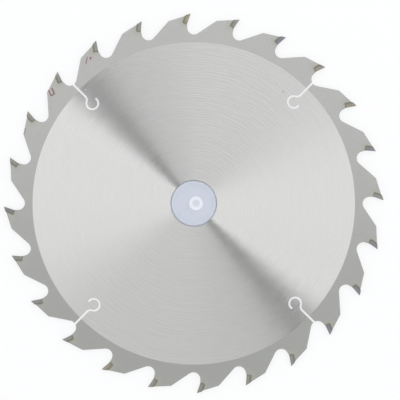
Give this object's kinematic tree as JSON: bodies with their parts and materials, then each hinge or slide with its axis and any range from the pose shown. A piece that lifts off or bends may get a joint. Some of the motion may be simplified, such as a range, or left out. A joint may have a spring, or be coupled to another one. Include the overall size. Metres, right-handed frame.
{
  "type": "circular saw blade",
  "caption": "Circular saw blade with brazed carbide tips, deep gullets, hooked expansion slots and a plastic plug in its bore.",
  "frame": {"origin": "middle of the bore, half way through the plate", "axes": "+Z is the arbor axis and looks out of the face seen in the picture; +X and +Y lie in the plate, +Y towards the picture's upper edge; seen from +Z the teeth point clockwise"},
  "size_m": [0.25, 0.25, 0.0032],
  "materials": {
    "ground_steel": "concentric ground face, duller blasted tooth ring",
    "carbide": "ground, satin",
    "braze": "darkened by heat",
    "plug_plastic": "milky, translucent"
  },
  "bodies": {
    "root": {"saw_plate": "ground_steel", "carbide_tip_01": "carbide", "carbide_tip_02": "carbide", "carbide_tip_03": "carbide", "carbide_tip_04": "carbide", "carbide_tip_05": "carbide", "carbide_tip_06": "carbide", "carbide_tip_07": "carbide", "carbide_tip_08": "carbide", "carbide_tip_09": "carbide", "carbide_tip_10": "carbide", "carbide_tip_11": "carbide", "carbide_tip_12": "carbide", "carbide_tip_13": "carbide", "carbide_tip_14": "carbide", "carbide_tip_15": "carbide", "carbide_tip_16": "carbide", "carbide_tip_17": "carbide", "carbide_tip_18": "carbide", "carbide_tip_19": "carbide", "carbide_tip_20": "carbide", "carbide_tip_21": "carbide", "carbide_tip_22": "carbide", "carbide_tip_23": "carbide", "carbide_tip_24": "carbide", "braze_film_01": "braze", "braze_film_02": "braze", "braze_film_03": "braze", "braze_film_04": "braze", "braze_film_05": "braze", "braze_film_06": "braze", "braze_film_07": "braze", "braze_film_08": "braze", "braze_film_09": "braze", "braze_film_10": "braze", "braze_film_11": "braze", "braze_film_12": "braze", "braze_film_13": "braze", "braze_film_14": "braze", "braze_film_15": "braze", "braze_film_16": "braze", "braze_film_17": "braze", "braze_film_18": "braze", "braze_film_19": "braze", "braze_film_20": "braze", "braze_film_21": "braze", "braze_film_22": "braze", "braze_film_23": "braze", "braze_film_24": "braze", "bore_plug": "plug_plastic"}
  },
  "joints": []
}
